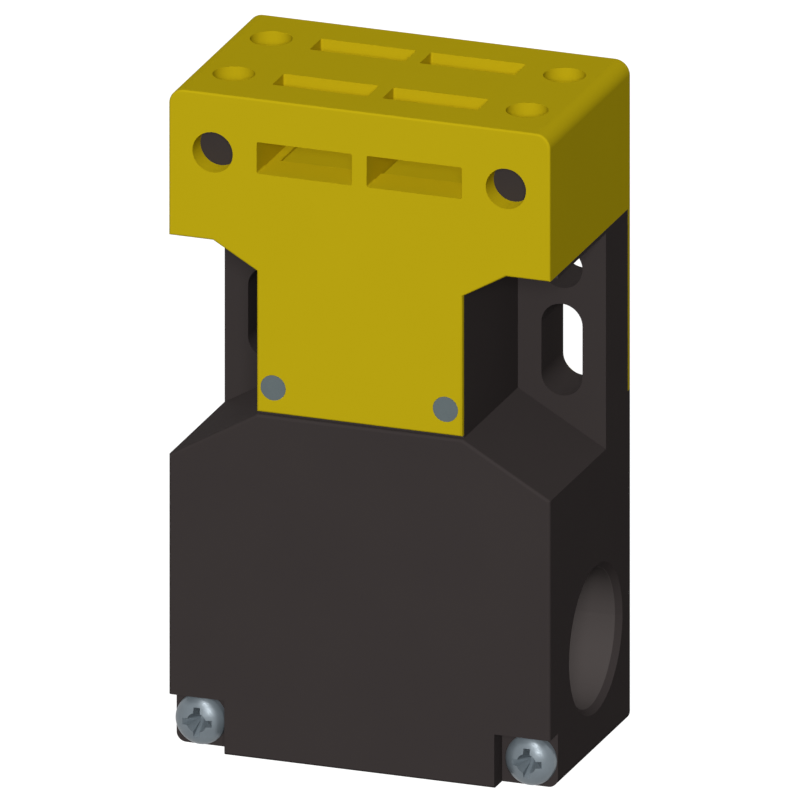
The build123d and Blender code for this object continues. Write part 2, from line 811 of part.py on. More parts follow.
def terminal_screw():
    """Screw of the right upper terminal."""
    seat = block_front - strip_thickness - terminal_clamp_thickness
    screw_z = block_top - block_floor - terminal_screw_drop
    return pan_screw(tab_center, screw_z, seat, terminal_screw_head_radius,
                     terminal_screw_head_height, terminal_screw_radius, terminal_screw_length)


def lowered(shape):
    """Mirror image of an upper contact piece about the middle of the block."""
    return mirror(shape, about=Plane.XY.offset(block_middle))


def four_of(shape):
    """The same piece at all four terminals."""
    return Compound(both_sides(shape) + both_sides(lowered(shape)))


def upper_bridge_top():
    """Height of the upper bridge's top face at rest."""
    fixed_face = block_top - block_floor - strip_thickness - tip_height
    return fixed_face - contact_gap - plunger_lift - tip_height


def lower_bridge_bottom():
    """Height of the lower bridge's under face at rest."""
    fixed_face = block_bottom + block_floor + strip_thickness + tip_height
    return fixed_face + contact_gap + tip_height


def bridge(z_low):
    """Contact bridge across the chamber."""
    strip = RectangleRounded(bridge_length, bridge_width, bridge_corner_radius)
    return extrude(Plane.XY.offset(z_low) * strip, bridge_thickness)


def bridge_tips():
    """Silver faces of both bridges."""
    top = upper_bridge_top()
    bottom = lower_bridge_bottom()
    high = rod_z(tip_radius, top, top + tip_height, tip_position)
    low = rod_z(tip_radius, bottom - tip_height, bottom, tip_position)
    return Compound(both_sides(high) + both_sides(low))


def contact_carrier():
    """Slide under the plunger with one window for each bridge and a guide key behind."""
    half = carrier_width / 2
    low = lower_bridge_bottom() - tip_height - contact_gap - tip_height
    body = block(-half, half, -half, half, low, plunger_end_height)
    key_half = carrier_key_width / 2
    body += block(-key_half, key_half, 0, half + carrier_key_depth, low, plunger_end_height)
    window_half = carrier_slot_depth / 2
    window = bridge_thickness + contact_spring_height
    top = upper_bridge_top()
    bottom = lower_bridge_bottom()
    body -= block(-half, half, -window_half, window_half, top - window, top)
    body -= block(-half, half, -window_half, window_half, bottom, bottom + window)
    socket_low = plunger_end_height - plunger_spigot_length
    return body - rod_z(plunger_spigot_radius + running_clearance, socket_low, plunger_end_height)


def contact_springs():
    """Springs that press the bridges against the ends of their windows, upper first."""
    top = upper_bridge_top() - bridge_thickness
    bottom = lower_bridge_bottom() + bridge_thickness
    gap = contact_spring_gap
    upper = coil(contact_spring_radius, contact_spring_wire, contact_spring_turns,
                 top - contact_spring_height + gap, top - gap)
    lower = coil(contact_spring_radius, contact_spring_wire, contact_spring_turns,
                 bottom + gap, bottom + contact_spring_height - gap)
    return upper, lower


def cover_screws():
    """Two pan-head screws in the bottom corners of the cover."""
    screw = pan_screw(cover_screw_x, cover_screw_height, y_recess, cover_screw_head_radius,
                      cover_screw_head_height, cover_screw_radius, cover_screw_length)
    return Compound(both_sides(screw))


def all_pieces():
    """Every piece by its node name."""
    drum = right_cam()
    terminal = right_upper_terminal()
    upper_spring, lower_spring = contact_springs()
    return {
        "base_housing": base_housing(),
        "front_cover": front_cover(),
        "cover_gasket": cover_gasket(),
        "cover_screws": cover_screws(),
        "head_carrier": head_carrier(),
        "carrier_screws": carrier_screws(),
        "head_shell": head_shell(),
        "head_pins": head_pins(),
        "tongue_guide": tongue_guide(),
        "cam_axle": cam_axle(),
        "cam_spacer": cam_spacer(),
        "right_cam": drum,
        "left_cam": mirror(drum, about=Plane.YZ),
        "plunger": plunger(),
        "return_spring": return_spring(),
        "guide_bush": guide_bush(),
        "plunger_seal": plunger_seal(),
        "spring_washer": spring_washer(),
        "contact_block": contact_block(),
        "contact_block_front": contact_block_front(),
        "block_screws": block_screws(),
        "upper_terminals": Compound(both_sides(terminal)),
        "lower_terminals": Compound(both_sides(lowered(terminal))),
        "fixed_contact_tips": four_of(fixed_tip()),
        "terminal_clamps": four_of(terminal_clamp()),
        "terminal_screws": four_of(terminal_screw()),
        "contact_carrier": contact_carrier(),
        "upper_bridge": bridge(upper_bridge_top() - bridge_thickness),
        "lower_bridge": bridge(lower_bridge_bottom()),
        "bridge_tips": bridge_tips(),
        "upper_contact_spring": upper_spring,
        "lower_contact_spring": lower_spring,
    }


def main():
    os.makedirs("parts", exist_ok=True)
    for name, shape in all_pieces().items():
        export_step(shape, f"parts/{name}.step")


main()
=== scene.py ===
import json
import math

import bmesh
import bpy
from mathutils import Matrix, Vector


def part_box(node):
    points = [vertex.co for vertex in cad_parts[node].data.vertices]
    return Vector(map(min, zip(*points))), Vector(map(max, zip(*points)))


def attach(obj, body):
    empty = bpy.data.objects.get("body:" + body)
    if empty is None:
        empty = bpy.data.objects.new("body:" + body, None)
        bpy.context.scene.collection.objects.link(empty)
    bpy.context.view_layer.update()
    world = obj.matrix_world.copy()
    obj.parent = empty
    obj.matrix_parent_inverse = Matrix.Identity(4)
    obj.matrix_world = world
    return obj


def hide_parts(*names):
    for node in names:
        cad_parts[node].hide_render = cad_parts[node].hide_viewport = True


bl_info = {
    "name": "Tongue interlock switch dressing",
    "version": (1, 0, 0),
    "blender": (4, 5, 0),
    "location": "3D View > Sidebar > Interlock switch",
    "description": "Gives the packed switch its finishes, screws and studio",
    "category": "Object",
}

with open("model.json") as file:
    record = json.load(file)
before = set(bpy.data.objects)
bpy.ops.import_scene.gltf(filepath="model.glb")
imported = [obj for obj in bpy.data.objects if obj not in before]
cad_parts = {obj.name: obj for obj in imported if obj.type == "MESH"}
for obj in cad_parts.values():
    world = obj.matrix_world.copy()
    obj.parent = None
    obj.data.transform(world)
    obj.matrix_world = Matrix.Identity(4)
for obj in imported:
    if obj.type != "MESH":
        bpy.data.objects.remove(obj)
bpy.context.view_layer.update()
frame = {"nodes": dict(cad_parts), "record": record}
MM = 0.001
SIDE_ENTRY = next(mount for mount in frame["record"]["mounts"] if mount["name"] == "right_entry")

# A Mix node names its number, vector and colour sockets alike, so the colour ones go by place
MIX_A, MIX_B, MIX_COLOUR = 6, 7, 2
# Most of a noise texture's values lie in this range
NOISE_RANGE = {"From Min": 0.3, "From Max": 0.7}
# The painted light in the bores reaches this far past their radius, into the wall
BORE_LIGHT_MARGIN = 0.05 * MM

# A cutter reaches this far past the faces that it opens
OVERCUT = 1.0 * MM
# Height that is cleared below the ledge
LEDGE_CUT = 5.0 * MM
# A round hole is cut as a slot with hardly any straight part; this is half of it
ROUND_HALF = 0.1 * MM
# Steps round each end of a slot, and from the top of a screw's dome to its rim
END_STEPS = 24
DOME_STEPS = 8
# Radius of a cover screw's shank
SHANK_RADIUS = 1.7 * MM
# The recess cutter starts this far in front of the dome
RECESS_LEAD = 0.2 * MM
# Steps round the cone in the middle of the recess
CORE_STEPS = 24
# Share of a bar's length and width that is left at the floor of the recess
BAR_TAPER = (0.1, 1.0, 0.35)
# Corners closer together than this are merged
MERGE_DISTANCE = 1e-6
# Edges sharper than this stay sharp under smooth shading
MOULDING_EDGE = math.radians(30)
SCREW_EDGE = math.radians(18)

# Half the side of the paper sheet, its grey as the object and as the eye sees it, and its glow
PAPER_REACH = 3.0
PAPER_BOUNCE = (0.25, 0.25, 0.25, 1.0)
PAPER_GREY = (0.5, 0.5, 0.5, 1.0)
PAPER_GLOW = 0.76
WHITE = (1, 1, 1, 1)
# Point that the camera looks at, its distance from there and how far it sees
VIEW_CENTRE = (0.0001, 0.0, 0.0456)
CAMERA_DISTANCE = 0.6
VIEW_END = 20.0


# Properties

class SwitchColours(bpy.types.PropertyGroup):
    """Colours that a user may change, as sRGB hex"""
    head: bpy.props.StringProperty(
        name="Head", description="Colour of the moulded head cap", default="B6A111")
    drum: bpy.props.StringProperty(
        name="Drums", description="Colour of the moulded cam drums", default="B09D12")
    case: bpy.props.StringProperty(
        name="Case", description="Colour of the moulded case and neck", default="3A3534")
    # Painted light: the lighter tone inside the entries stands in for light on their curved walls
    bore_light: bpy.props.StringProperty(
        name="Entry bores", description="Colour of the smooth skin inside the cable entries",
        default="484342")
    screw: bpy.props.StringProperty(
        name="Screws", description="Colour of the zinc-plated screws", default="757F86")
    pin: bpy.props.StringProperty(
        name="Pins", description="Colour of the head pins", default="5E6769")


class ScrewSizes(bpy.types.PropertyGroup):
    """Sizes of the pan-head screws that hold the cover"""
    head_radius: bpy.props.FloatProperty(
        name="Head radius", description="Radius of the head", default=3.4 * MM, unit="LENGTH")
    head_height: bpy.props.FloatProperty(
        name="Head height", description="Height of the domed head", default=2.4 * MM, unit="LENGTH")
    rim_height: bpy.props.FloatProperty(
        name="Rim height", description="Straight part of the head under its dome",
        default=0.5 * MM, unit="LENGTH")
    recess_length: bpy.props.FloatProperty(
        name="Recess length", description="Length of each bar of the cross recess",
        default=4.9 * MM, unit="LENGTH")
    recess_width: bpy.props.FloatProperty(
        name="Recess width", description="Width of each bar of the cross recess",
        default=1.0 * MM, unit="LENGTH")
    recess_depth: bpy.props.FloatProperty(
        name="Recess depth", description="Depth of the cross recess",
        default=2.7 * MM, unit="LENGTH")
    recess_turn: bpy.props.FloatProperty(
        name="Recess turn", description="Turn of the cross recess", default=0.0, subtype="ANGLE")
    recess_core: bpy.props.FloatProperty(
        name="Recess core",
        description="Radius of the cone in the middle of the recess, at its mouth",
        default=1.5 * MM, unit="LENGTH")
    recess_point: bpy.props.FloatProperty(
        name="Recess point", description="Radius of that cone at its floor",
        default=0.3 * MM, unit="LENGTH")
    segments: bpy.props.IntProperty(
        name="Segments", description="Steps round the head", default=64, min=16)


class LedgeSizes(bpy.types.PropertyGroup):
    """Sizes of the ledge that shows under the head"""
    thickness: bpy.props.FloatProperty(
        name="Ledge thickness", description="Thickness of the ledge beside the neck",
        default=0.5 * MM, unit="LENGTH")
    top: bpy.props.FloatProperty(
        name="Ledge top", description="Height of the head's underside",
        default=70.0 * MM, unit="LENGTH")
    neck_width: bpy.props.FloatProperty(
        name="Neck width", description="Width of the neck between the two ledges",
        default=28.0 * MM, unit="LENGTH")


class PlateSizes(bpy.types.PropertyGroup):
    """Sizes of the fixing holes and slots in the thin rear plate of the head"""
    hole_radius: bpy.props.FloatProperty(
        name="Hole radius", description="Radius of the holes and half width of the slots",
        default=3.2 * MM, unit="LENGTH")
    pitch: bpy.props.FloatProperty(
        name="Pitch", description="Distance between the left and right holes",
        default=40.0 * MM, unit="LENGTH")
    hole_height: bpy.props.FloatProperty(
        name="Hole height", description="Height of the round holes",
        default=64.1 * MM, unit="LENGTH")
    slot_height: bpy.props.FloatProperty(
        name="Slot height", description="Height of the slots' middle",
        default=52.9 * MM, unit="LENGTH")
    slot_half: bpy.props.FloatProperty(
        name="Slot half", description="Half the straight part of a slot",
        default=3.45 * MM, unit="LENGTH")
    thickness: bpy.props.FloatProperty(
        name="Plate thickness", description="Thickness of the rear plate",
        default=0.8 * MM, unit="LENGTH")


class StudioSettings(bpy.types.PropertyGroup):
    """Light and camera of the studio"""
    azimuth: bpy.props.FloatProperty(
        name="Azimuth", description="Camera turn to the right of the front",
        default=math.radians(20), subtype="ANGLE")
    elevation: bpy.props.FloatProperty(
        name="Elevation", description="Camera height above the horizon",
        default=math.radians(20), subtype="ANGLE")
    view_width: bpy.props.FloatProperty(
        name="View width", description="Width of the parallel view", default=0.10253, unit="LENGTH")
    ambient: bpy.props.FloatProperty(
        name="Ambient", description="Strength of the soft light from all round", default=0.100)
    key: bpy.props.FloatProperty(
        name="Key lamp", description="Strength of the high lamp in front", default=1.850)
    key_turn: bpy.props.FloatProperty(
        name="Key lamp turn", description="Turn of the key lamp to the right of the front",
        default=math.radians(9.8), subtype="ANGLE")
    key_height: bpy.props.FloatProperty(
        name="Key lamp height", description="Height of the key lamp above the horizon",
        default=math.radians(47.2), subtype="ANGLE")
    fill: bpy.props.FloatProperty(
        name="Fill lamp", description="Strength of the lamp at the camera", default=1.728)
    rear: bpy.props.FloatProperty(
        name="Rear lamp", description="Strength of the level lamp behind on the left", default=1.5)
    rear_turn: bpy.props.FloatProperty(
        name="Rear lamp turn", description="Turn of the rear lamp to the right of the front",
        default=math.radians(215), subtype="ANGLE")
    softness: bpy.props.FloatProperty(
        name="Lamp softness", description="Angle that each lamp fills",
        default=math.radians(12), subtype="ANGLE")


# Materials

def colours():
    """Colours set in this scene"""
    return bpy.context.scene.switch_colours


def linear(hex_colour):
    """sRGB hex to a linear colour with alpha"""
    values = []
    for start in (0, 2, 4):
        c = int(hex_colour[start:start + 2], 16) / 255
        values.append(c / 12.92 if c <= 0.04045 else ((c + 0.055) / 1.055) ** 2.4)
    return (*values, 1.0)


def per_metre(millimetres):
    """Texture scale whose cells are that many millimetres wide"""
    return 1.0 / (millimetres * MM)


def add_node(tree, kind, settings=None, links=None):
    """One node with its settings and links. A setting is an attribute or the value of a socket, a
    link joins another node's output to a socket, and a socket goes by its name or its place."""
    node = tree.nodes.new(kind)
    for key, value in (settings or {}).items():
        if isinstance(key, str) and hasattr(node, key):
            setattr(node, key, value)
        else:
            node.inputs[key].default_value = value
    for key, source in (links or {}).items():
        tree.links.new(source, node.inputs[key])
    return node


def new_material(name):
    """Empty node material and its tree"""
    material = bpy.data.materials.new(name)
    material.use_nodes = True
    material.node_tree.nodes.clear()
    return material, material.node_tree


def moulded_plastic(name, colour, darker, grain_mm=0.4, roughness=0.6, specular=0.001, skin=None):
    """Injection-moulded thermoplastic. Slow flow clouds change its tone a little, and the
    spark-eroded mould leaves a fine even grain that breaks the gloss into a soft sheen. A skin is a
    function that changes the tone in one place; the case's skin paints light into its entry bores."""
    material, tree = new_material(name)
    place = add_node(tree, "ShaderNodeTexCoord").outputs["Object"]
    flow = add_node(tree, "ShaderNodeTexNoise", {"Scale": per_metre(14.0), "Detail": 3.0},
                    {"Vector": place})
    # The real grain is under 0.1 mm, which wouldn't show, so it is drawn coarser
    grain = add_node(tree, "ShaderNodeTexNoise", {"Scale": per_metre(grain_mm), "Detail": 2.0},
                     {"Vector": place})
    tone = add_node(tree, "ShaderNodeMix",
                    {"data_type": "RGBA", MIX_A: linear(colour), MIX_B: linear(darker)},
                    {"Factor": flow.outputs["Fac"]}).outputs[MIX_COLOUR]
    if skin:
        tone = skin(tree, place, tone)
    sheen = add_node(tree, "ShaderNodeMapRange",
                     {**NOISE_RANGE, "To Min": roughness - 0.05, "To Max": roughness + 0.08},
                     {"Value": grain.outputs["Fac"]})
    relief = add_node(tree, "ShaderNodeBump", {"Strength": 0.12, "Distance": 0.02 * MM},
                      {"Height": grain.outputs["Fac"]})
    shader = add_node(tree, "ShaderNodeBsdfPrincipled", {"Specular IOR Level": specular},
                      {"Base Color": tone, "Roughness": sheen.outputs["Result"],
                       "Normal": relief.outputs["Normal"]})
    add_node(tree, "ShaderNodeOutputMaterial", links={"Surface": shader.outputs["BSDF"]})
    return material


def painted_bore_light(tree, place, tone):
    """Painted light round the axis of the side entries, which runs along X: inside the bores the
    tone is made lighter, which stands in for the light on their curved walls."""
    centre = SIDE_ENTRY["pos_m"]
    radius = SIDE_ENTRY["dims"]["r_mm"] * MM + BORE_LIGHT_MARGIN
    shifted = add_node(tree, "ShaderNodeVectorMath",
                       {"operation": "SUBTRACT", 1: (0.0, centre[1], centre[2])}, {0: place})
    flat = add_node(tree, "ShaderNodeVectorMath", {"operation": "MULTIPLY", 1: (0.0, 1.0, 1.0)},
                    {0: shifted.outputs[0]})
    away = add_node(tree, "ShaderNodeVectorMath", {"operation": "LENGTH"}, {0: flat.outputs[0]})
    inside = add_node(tree, "ShaderNodeMath", {"operation": "LESS_THAN", 1: radius},
                      {0: away.outputs["Value"]})
    tint = add_node(tree, "ShaderNodeMix", {"data_type": "RGBA", MIX_B: linear(colours().bore_light)},
                    {"Factor": inside.outputs[0], MIX_A: tone})
    return tint.outputs[MIX_COLOUR]


def plated_metal(name, colour, darker, roughness, streak_mm=0.3, metallic=1.0):
    """Turned or stamped metal with a plated skin. Fine streaks and blotches in the plating make its
    reflection uneven, bright on one side and dull on the other."""
    material, tree = new_material(name)
    place = add_node(tree, "ShaderNodeTexCoord").outputs["Object"]
    blotch = add_node(tree, "ShaderNodeTexNoise", {"Scale": per_metre(1.6), "Detail": 4.0},
                      {"Vector": place})
    # Eight times finer along Y, which draws the noise out to streaks, coarser than the real ones
    stretch = add_node(tree, "ShaderNodeMapping", {"Scale": (1.0, 8.0, 1.0)}, {"Vector": place})
    streak = add_node(tree, "ShaderNodeTexNoise", {"Scale": per_metre(streak_mm), "Detail": 3.0},
                      {"Vector": stretch.outputs["Vector"]})
    tone = add_node(tree, "ShaderNodeMix",
                    {"data_type": "RGBA", MIX_A: linear(colour), MIX_B: linear(darker)},
                    {"Factor": blotch.outputs["Fac"]})
    dull = add_node(tree, "ShaderNodeMapRange",
                    {**NOISE_RANGE, "To Min": roughness - 0.06, "To Max": roughness + 0.1},
                    {"Value": streak.outputs["Fac"]})
    relief = add_node(tree, "ShaderNodeBump", {"Strength": 0.05, "Distance": 0.01 * MM},
                      {"Height": streak.outputs["Fac"]})
    shader = add_node(tree, "ShaderNodeBsdfPrincipled", {"Metallic": metallic},
                      {"Base Color": tone.outputs[MIX_COLOUR],
                       "Roughness": dull.outputs["Result"], "Normal": relief.outputs["Normal"]})
    add_node(tree, "ShaderNodeOutputMaterial", links={"Surface": shader.outputs["BSDF"]})
    return material


def seal_rubber(name):
    """Moulded nitrile rubber: nearly black, dull, with a dusty bloom in patches"""
    material, tree = new_material(name)
    place = add_node(tree, "ShaderNodeTexCoord").outputs["Object"]
    bloom = add_node(tree, "ShaderNodeTexNoise", {"Scale": per_metre(2.5), "Detail": 4.0},
                     {"Vector": place})
    tone = add_node(tree, "ShaderNodeMix",
                    {"data_type": "RGBA", MIX_A: linear("1A1A1B"), MIX_B: linear("262627")},
                    {"Factor": bloom.outputs["Fac"]})
    relief = add_node(tree, "ShaderNodeBump", {"Strength": 0.2, "Distance": 0.03 * MM},
                      {"Height": bloom.outputs["Fac"]})
    shader = add_node(tree, "ShaderNodeBsdfPrincipled",
                      {"Roughness": 0.75, "Specular IOR Level": 0.3},
                      {"Base Color": tone.outputs[MIX_COLOUR], "Normal": relief.outputs["Normal"]})
    add_node(tree, "ShaderNodeOutputMaterial", links={"Surface": shader.outputs["BSDF"]})
    return material


def dress(material, slot, *nodes):
    """Give CAD nodes their material; the slot argument is not used"""
    for name in nodes:
        node = frame["nodes"][name]
        node.data.materials.clear()
        node.data.materials.append(material)


class SWITCH_OT_dress_head(bpy.types.Operator):
    """Yellow head cap, tongue guide and cam drums"""
    bl_idname = "switch.dress_head"
    bl_label = "Dress the head"

    def execute(self, context):
        cap = moulded_plastic("Moulded_yellow_PBT", colours().head, "B39E10")
        drum = moulded_plastic("Moulded_yellow_acetal", colours().drum, "A9970F")
        dress(cap, "yellow_plastic", "head_shell", "tongue_guide")
        dress(drum, "drum_plastic", "left_cam", "right_cam")
        return {"FINISHED"}


class SWITCH_OT_dress_case(bpy.types.Operator):
    """Black case, cover and neck"""
    bl_idname = "switch.dress_case"
    bl_label = "Dress the case"

    def execute(self, context):
        # The entry bores of the case get a painted lighter tone, which stands in for light on their
        # walls
        case = moulded_plastic("Moulded_black_PBT", colours().case, "373232", skin=painted_bore_light)
        dress(case, "black_plastic", "base_housing", "front_cover", "head_carrier")
        return {"FINISHED"}


class SWITCH_OT_dress_inside(bpy.types.Operator):
    """Contact block, plunger, springs, seals and metal pieces inside"""
    bl_idname = "switch.dress_inside"
    bl_label = "Dress the inside"

    def execute(self, context):
        block = moulded_plastic("Moulded_ivory_melamine", "CFC8B4", "C4BCA6",
                                grain_mm=0.5, roughness=0.55, specular=0.4)
        slide = moulded_plastic("Moulded_red_polyamide", "A8342A", "9C2E25",
                                grain_mm=0.5, roughness=0.45, specular=0.4)
        white = moulded_plastic("Moulded_white_acetal", "D8D6CE", "CECBC1",
                                grain_mm=0.5, roughness=0.4, specular=0.4)
        steel = plated_metal("Zinc_plated_steel", "AEB4B8", "8F979C", roughness=0.32)
        spring = plated_metal("Drawn_spring_steel", "9A9C9E", "7C7F82", roughness=0.28,
                              streak_mm=0.2)
        brass = plated_metal("Stamped_brass", "C9A35A", "B08A45", roughness=0.3)
        silver = plated_metal("Silver_contact", "E3E1DC", "CFCCC5", roughness=0.22)
        pin = plated_metal("Grooved_pin_steel", colours().pin, "586163", roughness=0.5)
        rubber = seal_rubber("Nitrile_rubber")
        dress(block, "block_plastic", "contact_block", "contact_block_front")
        dress(slide, "carrier_plastic", "contact_carrier")
        dress(white, "guide_plastic", "plunger", "guide_bush")
        dress(steel, "zinc_steel", "carrier_screws", "block_screws", "terminal_screws",
              "terminal_clamps", "cam_axle", "cam_spacer", "spring_washer")
        dress(spring, "spring_steel", "return_spring", "upper_contact_spring",
              "lower_contact_spring")
        dress(brass, "strip_brass", "upper_terminals", "lower_terminals", "upper_bridge",
              "lower_bridge")
        dress(silver, "contact_silver", "fixed_contact_tips", "bridge_tips")
        dress(pin, "grey_pin_steel", "head_pins")
        dress(rubber, "seal_rubber", "cover_gasket", "plunger_seal")
        return {"FINISHED"}


# Meshes

def finished_mesh(shape, name):
    """Mesh of a bmesh, with its doubles merged and its faces turned outwards; the bmesh is freed"""
    bmesh.ops.remove_doubles(shape, verts=shape.verts, dist=MERGE_DISTANCE)
    bmesh.ops.recalc_face_normals(shape, faces=shape.faces)
    mesh = bpy.data.meshes.new(name)
    shape.to_mesh(mesh)
    shape.free()
    return mesh


def new_piece(name, mesh):
    """Object for a mesh whose place is in the mesh"""
    piece = bpy.data.objects.new(name, mesh)
    bpy.context.scene.collection.objects.link(piece)
    return piece


def cut_out(piece, cutter):
    """Cut the cutter out of a piece, remove the cutter and return the piece's new mesh"""
    cut = piece.modifiers.new("Cut", "BOOLEAN")
    cut.operation = "DIFFERENCE"
    cut.solver = "EXACT"
    cut.use_self = True
    cut.object = cutter
    graph = bpy.context.evaluated_depsgraph_get()
    mesh = bpy.data.meshes.new_from_object(piece.evaluated_get(graph))
    piece.modifiers.clear()
    piece.data = mesh
    bpy.data.objects.remove(cutter)
    return mesh


def shade(mesh, material, sharp_edge):
    """Give a mesh its one material and smooth shading that stops at sharp edges"""
    mesh.materials.clear()
    mesh.materials.append(material)
    mesh.shade_smooth()
    mesh.set_sharp_from_angle(angle=sharp_edge)


# Cut copies of two CAD pieces

def box_tool(tool, low, high):
    """Add a box between two corners to a cutter"""
    made = bmesh.ops.create_cube(tool, size=1.0)["verts"]
    bmesh.ops.scale(tool, verts=made, vec=[b - a for a, b in zip(low, high)])
    bmesh.ops.translate(tool, verts=made, vec=[(a + b) / 2 for a, b in zip(low, high)])


def stadium_tool(tool, x, z, radius, half, y_low, y_high):
    """Add an upright slot with round ends to a cutter; half is half its straight part"""
    points = []
    for half_turn, middle in ((0, z + half), (1, z - half)):
        for step in range(END_STEPS + 1):
            angle = math.pi * (half_turn + step / END_STEPS)
            points.append((x + radius * math.cos(angle), middle + radius * math.sin(angle)))
    face = tool.faces.new([tool.verts.new((px, y_low, pz)) for px, pz in points])
    grown = bmesh.ops.extrude_face_region(tool, geom=[face])["geom"]
    moved = [item for item in grown if isinstance(item, bmesh.types.BMVert)]
    bmesh.ops.translate(tool, verts=moved, vec=(0, y_high - y_low, 0))


def cut_copy(node_name, name, tool):
    """Stand-in for a CAD piece: its copy, with doubles merged and the tool cut out of it"""
    node = frame["nodes"][node_name]
    material = node.data.materials[0]
    shape = bmesh.new()
    shape.from_mesh(node.data)
    bmesh.ops.transform(shape, matrix=node.matrix_world, verts=shape.verts)
    merged = finished_mesh(shape, name)
    # The CAD mesh's own corner normals no longer fit its merged faces
    if "custom_normal" in merged.attributes:
        merged.attributes.remove(merged.attributes["custom_normal"])
    piece = new_piece(name, merged)
    mesh = cut_out(piece, new_piece("cutter", finished_mesh(tool, "cutter")))
    shade(mesh, material, MOULDING_EDGE)
    even = piece.modifiers.new("Even_faces", "WEIGHTED_NORMAL")
    even.mode = "FACE_AREA_WITH_ANGLE"
    even.keep_sharp = True
    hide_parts(node_name)
    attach(piece, "housing")


class SWITCH_OT_slim_ledge(bpy.types.Operator):
    """Neck whose ledge under the head is as thin as a moulded flange"""
    bl_idname = "switch.slim_ledge"
    bl_label = "Slim the ledge"

    def execute(self, context):
        sizes = context.scene.ledge_sizes
        low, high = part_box("head_carrier")
        cut_top = sizes.top - sizes.thickness
        tool = bmesh.new()
        half_neck = sizes.neck_width / 2
        for near, far in ((half_neck, high.x + OVERCUT), (low.x - OVERCUT, -half_neck)):
            box_tool(tool, (near, low.y - OVERCUT, cut_top - LEDGE_CUT),
                     (far, high.y + OVERCUT, cut_top))
        cut_copy("head_carrier", "neck_with_thin_ledge", tool)
        return {"FINISHED"}


class SWITCH_OT_free_plate(bpy.types.Operator):
    """Head cap whose rear plate stands back from the edges of the fixing holes"""
    bl_idname = "switch.free_plate"
    bl_label = "Free the rear plate"

    def execute(self, context):
        sizes = context.scene.plate_sizes
        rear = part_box("head_shell")[1].y
        tool = bmesh.new()
        for x in (sizes.pitch / 2, -sizes.pitch / 2):
            for z, half in ((sizes.hole_height, ROUND_HALF), (sizes.slot_height, sizes.slot_half)):
                stadium_tool(tool, x, z, sizes.hole_radius, half, rear - 2 * sizes.thickness,
                             rear + OVERCUT)
        cut_copy("head_shell", "cap_with_free_plate", tool)
        return {"FINISHED"}


# Screws

def turned_screw(sizes, x, z, seat, tip, shank_radius):
    """Screw turned about the Y direction, from its dome over the rim to the shank's point"""
    shape = bmesh.new()
    dome = sizes.head_height - sizes.rim_height
    points = []
    for step in range(DOME_STEPS + 1):
        angle = math.pi / 2 * step / DOME_STEPS
        points.append((sizes.head_radius * math.sin(angle),
                       seat - sizes.rim_height - dome * math.cos(angle)))
    points.append((sizes.head_radius, seat))
    points.append((shank_radius, seat))
    points.append((shank_radius, tip - shank_radius))
    points.append((0.0, tip))
    verts = [shape.verts.new((x + radius, y, z)) for radius, y in points]
    edges = [shape.edges.new(pair) for pair in zip(verts, verts[1:])]
    bmesh.ops.spin(shape, geom=verts + edges, cent=(x, 0, z), axis=(0, 1, 0),
                   angle=2 * math.pi, steps=sizes.segments, use_merge=True)
    return shape


def cross_cutter(sizes, x, z, seat):
    """Cutter for the recess: a cone in the middle and two bars that taper towards the floor"""
    shape = bmesh.new()
    top = seat - sizes.head_height - RECESS_LEAD
    floor = seat - sizes.head_height + sizes.recess_depth
    core = bmesh.ops.create_cone(shape, cap_ends=True, segments=CORE_STEPS,
                                 radius1=sizes.recess_point, radius2=sizes.recess_core,
                                 depth=floor - top)["verts"]
    bmesh.ops.rotate(shape, verts=core, cent=(0, 0, 0),
                     matrix=Matrix.Rotation(math.pi / 2, 3, "X"))
    bmesh.ops.translate(shape, verts=core, vec=(x, (top + floor) / 2, z))
    for turn in (0.0, math.pi / 2):
        made = bmesh.ops.create_cube(shape, size=1.0)["verts"]
        bmesh.ops.scale(shape, verts=made,
                        vec=(sizes.recess_length, floor - top, sizes.recess_width))
        deep = [vert for vert in made if vert.co.y > 0]
        bmesh.ops.scale(shape, verts=deep, vec=BAR_TAPER)
        bmesh.ops.rotate(shape, verts=made, cent=(0, 0, 0),
                         matrix=Matrix.Rotation(sizes.recess_turn + turn, 3, "Y"))
        bmesh.ops.translate(shape, verts=made, vec=(x, (top + floor) / 2, z))
    return shape


class SWITCH_OT_cover_screws(bpy.types.Operator):
    """Two domed screws with a cross recess in the bottom corners"""
    bl_idname = "switch.cover_screws"
    bl_label = "Make the cover screws"

    def execute(self, context):
        sizes = context.scene.screw_sizes
        material = plated_metal("Blue_zinc_plated_steel", colours().screw, "626B71",
                                roughness=0.36, streak_mm=0.5, metallic=0.3)
        low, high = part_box("cover_screws")
        seat = low.y + sizes.head_height
        centre = high.x - sizes.head_radius
        middle = (low.z + high.z) / 2
        for x, name in ((centre, "cover_screw_right"), (-centre, "cover_screw_left")):
            turned = turned_screw(sizes, x, middle, seat, high.y, SHANK_RADIUS)
            piece = new_piece(name, finished_mesh(turned, name))
            cross = cross_cutter(sizes, x, middle, seat)
            mesh = cut_out(piece, new_piece("cutter", finished_mesh(cross, "cutter")))
            shade(mesh, material, SCREW_EDGE)
            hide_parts("cover_screws")
            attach(piece, "housing")
        return {"FINISHED"}


# Studio

def seen_rays(tree):
    """1 for rays from the camera, in a reflection or through a clear piece, 0 for any other"""
    path = add_node(tree, "ShaderNodeLightPath")
    seen = add_node(tree, "ShaderNodeMath", {"operation": "MAXIMUM"},
                    {0: path.outputs["Is Camera Ray"], 1: path.outputs["Is Glossy Ray"]})
    through = add_node(tree, "ShaderNodeMath", {"operation": "MAXIMUM"},
                       {0: seen.outputs[0], 1: path.outputs["Is Transmission Ray"]})
    return through.outputs[0]


